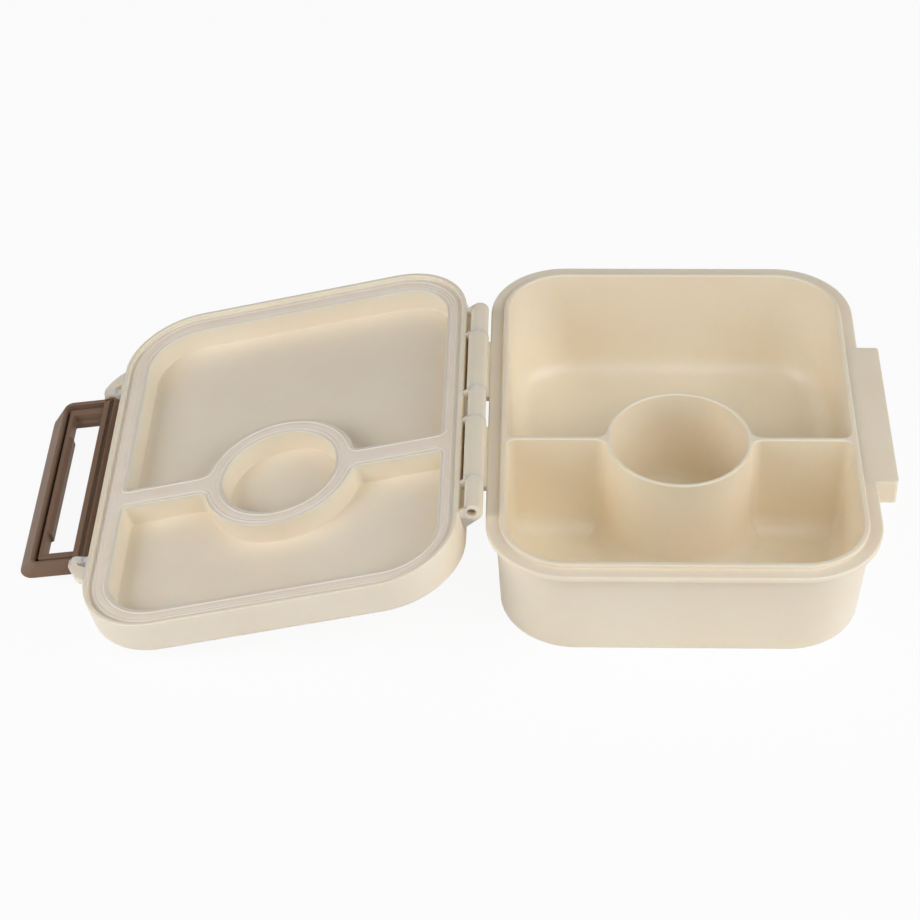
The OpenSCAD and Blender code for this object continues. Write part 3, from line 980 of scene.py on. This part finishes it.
@dataclass
class Lid:
    """The upper moulding: skirt, roof, bar, ring, three knuckles and two latch ears."""

    plan: LidBays
    place: Matrix
    wall: float = 1.7
    rim_round: float = 0.5
    roof_round: float = 2.2
    panel_in: float = 9.0
    panel_drop: float = 1.2
    seal_t: float = 1.6
    land_round: float = 0.35
    draft: float = 0.35
    floor_round: float = 0.45
    knuckle_r: float = 3.15
    knuckle_shift: Point = (-0.535, 0.13)
    web_rise: float = 6.6
    web_low: float = 1.3
    plate_t: float = 1.2
    knuckle_spans: tuple[Point, ...] = ((-54.9, -39.3), (-7.9, 7.9), (39.3, 54.9))
    behind_span: Point = (7.2, 39.8)
    pivot: Point = (69.6, 43.8)
    latch_half: float = 43.5
    ear_gap: float = 0.35
    ear_t: float = 2.8
    ear_r: float = 3.0
    brace_len: float = 7.4
    brace_top: float = 9.4
    brace_up: float = 2.3

    def _skirt(self, solid: Solid) -> Ring:
        """Skins the outside from the roof's panel to the rim.

        Args:
            solid: the mesh to add to.

        Returns:
            The shelf's outer ring.
        """
        def ring(inset: float, z: float) -> Ring:
            """Adds the lid's outline, moved inwards, at a height."""
            return solid.ring(self.plan.outline(inset), z)

        roof, rim = Level.ROOF.value, Level.RIM.value
        panel = roof - self.panel_drop
        rings = [ring(self.panel_in + 0.9, panel)]
        for run, rise in round_over(0.5, 3):
            rings.append(ring(self.panel_in + 0.5 - run, panel + 0.5 - rise))
        for run, rise in reversed(round_over(0.4, 3)):
            rings.append(ring(self.panel_in - run, roof - rise))
        for run, rise in reversed(round_over(self.roof_round, 7)):
            rings.append(ring(run, roof - rise))
        edge = self.rim_round
        for run, rise in round_over(edge):
            rings.append(ring(run, rim + rise))
        for run, rise in reversed(round_over(edge)):
            rings.append(ring(self.wall - run, rim + rise))
        for run, rise in round_over(0.4, 3):
            rings.append(ring(self.wall + run, Level.SEAL.value - rise))
        solid.fill(rings[0])
        solid.skin(*rings)
        return rings[-1]

    def shell(self, finish: bpy.types.Material) -> bpy.types.Object:
        """The lid's body with its channel, compartments, bar and ring.

        Args:
            finish: its material.

        Returns:
            The new object.
        """
        solid = Solid()
        plan, level = self.plan, Level.SEAL.value
        shelf = self._skirt(solid)
        lip = solid.ring(plan.outline(plan.seal_in), level)
        deep = solid.ring(plan.outline(plan.seal_in), level + self.seal_t)
        solid.skin(shelf, lip, deep)
        back = -plan.seal_edge
        mouths = []
        for number in range(3):
            rings = [solid.ring(plan.bays(back)[number], level + self.seal_t),
                     solid.ring(plan.bays(back)[number], level)]
            mouths.append(rings[0])
            for run, rise in reversed(round_over(self.land_round)):
                rings.append(solid.ring(plan.bays(-run)[number], level + rise))
            for run, rise in round_over(self.floor_round, 7):
                rings.append(solid.ring(plan.bays(self.draft + run)[number],
                                        Level.LID_FLOOR.value - rise))
            solid.skin(*rings)
            solid.fill(rings[-1])
        solid.fill(deep, *mouths)
        return solid.piece("lid_shell", finish, "lid", "lid_plastic", self.place)

    def knuckles(self, finish: bpy.types.Material) -> bpy.types.Object:
        """Three hinge knuckles with their webs and the end plates.

        Args:
            finish: its material.

        Returns:
            The new object.
        """
        solid = Solid()
        x, z = HINGE
        r, cx, cz = self.knuckle_r, x + self.knuckle_shift[0], z + self.knuckle_shift[1]
        wall_x = -self.plan.half_x + 0.9
        outline = arc((cx, cz), r, 119, 380, 44) + [
            (wall_x, z + self.web_low), (wall_x, z + self.web_rise)]
        bore = circle((x, z), KNUCKLE_BORE, 32)
        plate = arc((cx, cz), r - 0.1, 119, -62, 30) + [
            (wall_x, z - 1.05), (wall_x, z + self.web_rise - 0.3)]
        for low, high in self.knuckle_spans:
            solid.prism(outline, low, high, "y", bore)
            for start in (low - 0.05, high + 0.05 - self.plate_t):
                solid.prism(plate, start, start + self.plate_t, "y")
        behind = [(wall_x, z + 4.0), (wall_x, z + self.web_rise - 0.2),
                  (x, z + self.web_rise - 0.6), (x, z + 4.2)]
        for side in (-1, 1):
            solid.prism(behind, *(side * y for y in self.behind_span), "y")
        return solid.piece("lid_knuckles", finish, "lid", "lid_plastic", self.place, 0.12)

    def ears(self, finish: bpy.types.Material) -> bpy.types.Object:
        """Two ears that carry the latch, each with a sloping brace.

        Args:
            finish: its material.

        Returns:
            The new object.
        """
        solid = Solid()
        px, pz = self.pivot
        near = self.latch_half + self.ear_gap
        far = near + self.ear_t
        root = self.plan.half_x - 0.5
        tip = px + self.ear_r - 0.4
        profile = arc((px, pz), self.ear_r, -100, 90, 24) + [
            (root, pz + self.ear_r + 1.0), (root, pz - self.ear_r / 2)]
        for side in (-1, 1):
            solid.prism(profile, side * near, side * far, "y")

            def plan(length: float, hand: int = side) -> list[Point]:
                """Outlines a brace from above.

                Args:
                    length: how far it reaches past its ear.
                    hand: the ear's side, -1 or 1.

                Returns:
                    The closed outline.
                """
                turn = [math.radians(90 * step / 14) for step in range(15)]
                bulge = [(root + (tip - root) * max(math.cos(a), 0.0) ** 1.5,
                          far + 0.6 + (length - 0.6) * math.sin(a) ** 1.5) for a in turn]
                path = [(root, near + 0.3), (tip - 0.4, near + 0.3), (tip, near + 0.8)] + bulge
                return [(x, hand * y) for x, y in path]

            slot = [(root + 0.9, side * (far - 0.1)), (root + 4.2, side * (far - 0.1)),
                    (root + 3.6, side * (far + 1.3)), (root + 0.9, side * (far + 2.6))]
            solid.prism(plan(self.brace_top), pz - self.brace_up, pz + self.ear_r - 0.05, "z",
                        slot, plan(self.brace_len))
        return solid.piece("lid_latch_ears", finish, "lid", "lid_plastic", self.place, 0.45)

    def build(self, finish: bpy.types.Material) -> None:
        """Builds the whole lid in place of its CAD node.

        Args:
            finish: its material.
        """
        shell = self.shell(finish)
        self.knuckles(finish)
        self.ears(finish)
        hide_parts("lid")


@dataclass
class Seal:
    """The soft moulding in the lid's channel, with beads along every edge."""

    plan: LidBays
    place: Matrix
    thick: float = 1.5
    profile: tuple[Point, ...] = (
        (0.0, -0.1), (0.05, -0.02), (0.15, 0.02), (0.42, 0.02), (0.6, 0.16), (0.8, 0.28),
        (1.0, 0.28), (1.2, 0.16), (1.38, 0.04), (1.6, 0.02), (1.78, 0.1), (1.95, 0.14))

    def build(self, finish: bpy.types.Material) -> None:
        """Builds the seal in place of its CAD node.

        Args:
            finish: its material.
        """
        solid = Solid()
        level = Level.SEAL.value
        loops: list[Ring] = []
        feet: list[Ring] = []
        for number in range(4):
            def outline(depth: float, which: int = number) -> list[Point]:
                """Outlines one of the seal's four edges.

                Args:
                    depth: how far it is moved into the band.
                    which: the edge; 3 is the outer one.

                Returns:
                    The closed outline.
                """
                if which == 3:
                    return self.plan.outline(self.plan.seal_in + depth)
                return self.plan.bays(-self.plan.seal_edge - depth)[which]
            rings = [solid.ring(outline(0.0), level + self.thick)]
            rings += [solid.ring(outline(depth), level - height)
                      for depth, height in self.profile]
            solid.skin(*rings)
            feet.append(rings[0])
            loops.append(rings[-1])
        solid.fill(*loops)
        solid.fill(*feet)
        seal = solid.piece("lid_seal_band", finish, "lid", "seal_silicone", self.place,
                           sharp=60.0)
        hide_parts("lid_seal")


@dataclass
class Latch:
    """The snap latch, drawn with its pivot at the origin, its tip along -Z, front along +X."""

    place: Matrix
    half: float = 43.5
    reach: float = 22.78
    front: float = 5.8
    rim: float = -1.0
    rim_edge: float = 17.5
    rim_in: float = 16.4
    rim_half: float = 42.0
    floor: float = 4.2
    frame_half: float = 40.15
    frame_edge: float = 15.3
    frame_top: float = 0.0
    step_half: float = 37.4
    pocket: float = 2.9
    window_half: float = 35.85
    window_end: float = 13.75
    hook_half: float = 26.0
    hook_reach: float = 12.7
    hook_slope: float = 1.9
    bar_ahead: float = 2.6
    bar_flat: float = 1.5
    bar_behind: float = 2.9
    stub_r: float = 1.5
    stub_out: float = 45.85

    def _ring(self, solid: Solid, depth: float, half: float, tip: float, top: float,
              radius: float) -> Ring:
        """Adds one ring of the frame.

        Args:
            solid: the mesh to add to.
            depth: how far forward it lies.
            half: half its length.
            tip: its edge at the tip.
            top: its edge at the pivot.
            radius: its corners at the tip.

        Returns:
            The ring.
        """
        box = RoundedBox(-half, half, tip, top, radius, 0.3, 8)
        return solid.ring(box.points(), depth, "x")

    def frame_piece(self, finish: bpy.types.Material) -> bpy.types.Object:
        """The frame round the window: smooth front, sloped tip, rim, groove and inner frame.

        Args:
            finish: its material.

        Returns:
            The new object.
        """
        solid = Solid()
        tip, half, frame_half = -self.reach, self.half, self.frame_half
        rim, groove = -self.rim_edge, -self.rim_in
        edge, window = -self.frame_edge, -self.window_end
        # Each row is a ring: depth, half length, tip, top, tip corner
        rows = [(self.front, self.window_half + 0.6, window - 0.5, -2.3, 0.6)]
        for run, rise in reversed(round_over(0.9)):
            rows.append((self.front - rise, half - run, tip + run, 2.3 - run, 5.0 - run))
        rows += [(self.front - 1.3, half, tip + 0.25, 2.3, 4.6),
                 (self.rim + 0.35, half, rim - 0.2, 1.5, 3.3),
                 (self.rim + 0.1, half - 0.1, rim + 0.05, 1.3, 3.1),
                 (self.rim, half - 0.35, rim + 0.3, 1.1, 2.9),
                 (self.rim, self.rim_half + 0.25, groove - 0.2, -0.6, 1.9),
                 (self.rim + 0.25, self.rim_half, groove, -0.8, 1.7),
                 (self.floor, self.rim_half - 0.1, groove + 0.1, -0.8, 1.5),
                 (self.floor, frame_half + 0.1, edge - 0.1, -1.6, 0.9),
                 (self.frame_top + 0.3, frame_half, edge, -1.6, 0.9),
                 (self.frame_top + 0.08, frame_half - 0.08, edge + 0.08, -1.6, 0.8),
                 (self.frame_top, frame_half - 0.3, edge + 0.3, -1.7, 0.6),
                 (self.frame_top + 0.1, self.step_half + 0.2, window - 0.3, -1.8, 0.5),
                 (self.frame_top + 0.25, self.step_half, window - 0.05, -1.8, 0.5),
                 (self.pocket, self.step_half - 0.1, window, -1.9, 0.4),
                 (self.pocket + 0.12, self.window_half + 0.15, window, -2.0, 0.4),
                 (self.pocket + 0.3, self.window_half, window + 0.02, -2.1, 0.4),
                 (self.front - 0.3, self.window_half + 0.3, window - 0.2, -2.3, 0.4)]
        rings = [self._ring(solid, *row) for row in rows]
        solid.skin(*rings, rings[0])
        return solid.piece("latch_frame", finish, "latch", "latch_plastic", self.place,
                           sharp=34.0)

    def bar(self, finish: bpy.types.Material) -> bpy.types.Object:
        """The bar round the pivot, with its flat top and the slope beside the lid.

        Args:
            finish: its material.

        Returns:
            The new object.
        """
        solid = Solid()
        ahead, behind, front = -self.bar_ahead, self.bar_behind, self.front - 0.02
        outline = [(self.rim, ahead), (self.rim, self.bar_flat), (0.5, behind),
                   (front - 0.9, behind), (front - 0.25, behind - 0.3),
                   (front, behind - 0.9), (front, ahead)]
        solid.prism(outline, -self.half, self.half, "y")
        return solid.piece("latch_bar", finish, "latch", "latch_plastic", self.place, 0.3)

    def hook(self, finish: bpy.types.Material) -> bpy.types.Object:
        """The hook in the middle of the window's far edge.

        Args:
            finish: its material.

        Returns:
            The new object.
        """
        solid = Solid()
        root, reach = -self.window_end - 0.35, -self.hook_reach
        outline = [(self.frame_top + 0.15, root), (self.hook_slope, reach),
                   (self.front - 0.9, reach), (self.front - 0.3, root)]
        solid.prism(outline, -self.hook_half, self.hook_half, "y")
        return solid.piece("latch_hook", finish, "latch", "latch_plastic", self.place, 0.2)

    def stubs(self, finish: bpy.types.Material) -> bpy.types.Object:
        """The two pivot stubs that sit in the lid's ears.

        Args:
            finish: its material.

        Returns:
            The new object.
        """
        solid = Solid()
        for side in (-1, 1):
            solid.prism(circle((0.0, 0.0), self.stub_r, 40), side * (self.half - 0.3),
                        side * (self.stub_out - 0.05), "y")
        return solid.piece("latch_stubs", finish, "latch", "latch_plastic", self.place, 0.2)

    def build(self, finish: bpy.types.Material) -> None:
        """Builds the whole latch in place of its CAD node.

        Args:
            finish: its material.
        """
        body = self.frame_piece(finish)
        self.bar(finish)
        self.hook(finish)
        self.stubs(finish)
        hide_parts("latch")


# ---------------------------------------------------------------- studio


@dataclass
class Studio:
    """Camera, pale floor and plain soft light."""

    eye: tuple[float, float, float] = (-47.506, -666.760, 593.690)
    focal_px: float = 2509.64
    pitch: float = 40.765
    yaw: float = 2.384
    roll: float = -1.272
    aim: tuple[float, float, float] = (-0.06, 0.0, 0.02)
    lamp_size: float = 0.8
    air_strength: float = 0.13
    floor_glow: float = 0.92

    def camera(self) -> None:
        """Sets the camera at the photograph's place and angle."""
        pitch, yaw, roll = (math.radians(a) for a in (self.pitch, self.yaw, self.roll))
        ahead = Vector((-math.sin(yaw), math.cos(yaw), 0))
        side = Vector((math.cos(yaw), math.sin(yaw), 0))
        up = Vector((0, 0, 1))
        look = ahead * math.cos(pitch) - up * math.sin(pitch)
        top = up * math.cos(pitch) + ahead * math.sin(pitch)
        right = side * math.cos(roll) + top * math.sin(roll)
        top = top * math.cos(roll) - side * math.sin(roll)
        lens = bpy.data.cameras.new("camera")
        lens.sensor_width = 36.0
        lens.lens = self.focal_px / PICTURE * lens.sensor_width
        lens.clip_start, lens.clip_end = 0.01, 20
        camera = bpy.data.objects.new("camera", lens)
        camera.matrix_world = Matrix((
            (right.x, top.x, -look.x, self.eye[0] * MM),
            (right.y, top.y, -look.y, self.eye[1] * MM),
            (right.z, top.z, -look.z, self.eye[2] * MM), (0, 0, 0, 1)))
        bpy.context.scene.collection.objects.link(camera)
        bpy.context.scene.camera = camera

    def lamp(self, name: str, spot: tuple[float, float, float], watts: float) -> None:
        """Adds a square soft lamp that looks at the object.

        Args:
            name: the lamp's name.
            spot: its place in metres.
            watts: its power.
        """
        light = bpy.data.lights.new(name, "AREA")
        light.shape, light.size = "SQUARE", self.lamp_size
        light.energy, light.color = watts, LIGHT_TONE
        lamp = bpy.data.objects.new(name, light)
        lamp.location = spot
        aim = Vector(self.aim) - Vector(spot)
        lamp.rotation_euler = aim.to_track_quat("-Z", "Y").to_euler()
        bpy.context.scene.collection.objects.link(lamp)

    def floor(self) -> None:
        """Adds the pale floor, which shows white but keeps the object's shadow."""
        solid = Solid()
        solid.fill(solid.ring(circle((-40.0, 0.0), 4000.0, 96), -0.05))
        mesh = bpy.data.meshes.new("floor")
        solid.bm.transform(Matrix.Scale(MM, 4))
        solid.bm.to_mesh(mesh)
        solid.bm.free()
        shader = Shader("floor_white")
        shader.set("Base Color", linear(244, 243, 241))
        shader.set("Roughness", 0.9)
        shader.set("Specular IOR Level", 0.1)
        rays = shader.node("ShaderNodeLightPath")
        glow = shader.node("ShaderNodeEmission", None, {"Color": (1, 1, 1, 1), "Strength": 1.0})
        seen = Value(shader, rays.outputs["Is Camera Ray"]) + Value(
            shader, rays.outputs["Is Glossy Ray"])
        mix = shader.node("ShaderNodeMixShader", None, {
            0: self.floor_glow * seen, 1: shader.surface.outputs[0], 2: glow.outputs[0]})
        shader.feed(shader.output.inputs["Surface"], mix.outputs[0])
        mesh.materials.append(shader.material)
        floor = bpy.data.objects.new("floor", mesh)
        bpy.context.scene.collection.objects.link(floor)

    def world(self) -> None:
        """Sets the even white surroundings."""
        world = bpy.data.worlds.new("soft_white")
        world.use_nodes = True
        tree = world.node_tree
        tree.nodes.clear()
        out = tree.nodes.new("ShaderNodeOutputWorld")
        air = tree.nodes.new("ShaderNodeBackground")
        air.inputs["Color"].default_value = (*LIGHT_TONE, 1)
        air.inputs["Strength"].default_value = self.air_strength
        clean = tree.nodes.new("ShaderNodeBackground")
        clean.inputs["Strength"].default_value = 1.0
        clean.inputs["Color"].default_value = (1, 1, 1, 1)
        rays = tree.nodes.new("ShaderNodeLightPath")
        mix = tree.nodes.new("ShaderNodeMixShader")
        tree.links.new(rays.outputs["Is Camera Ray"], mix.inputs[0])
        tree.links.new(air.outputs[0], mix.inputs[1])
        tree.links.new(clean.outputs[0], mix.inputs[2])
        tree.links.new(mix.outputs[0], out.inputs["Surface"])
        bpy.context.scene.world = world

    def build(self) -> None:
        """Sets up the whole studio."""
        scene = bpy.context.scene
        scene.view_settings.view_transform = "Standard"
        self.camera()
        self.floor()
        self.world()
        self.lamp("right", (0.95, -0.25, 0.55), 5.9)
        self.lamp("left", (-1.05, -0.4, 0.55), 7.6)
        self.lamp("front", (-0.05, -0.8, 0.95), 1.7)
        self.lamp("high", (0.55, -0.6, 0.95), 4.3)


def main() -> None:
    """Builds the studio and the container."""
    logging.basicConfig(level=logging.INFO, format="%(name)s: %(message)s")
    swing = Swing()
    Studio().build()
    cream_tub, cream_lid = CREAM_TUB.material(), CREAM_LID.material()
    plan = LidBays()
    Tub().build(cream_tub)
    Lid(plan, swing.lid()).build(cream_lid)
    Seal(plan, swing.lid()).build(SEAL_SKIN.material())
    Latch(swing.latch()).build(BROWN_LATCH.material())
    pin = frame["nodes"]["hinge_pin"]
    pin.data.materials.clear()
    pin.data.materials.append(PIN_STEEL.material())


if __name__ == "__main__":
    main()
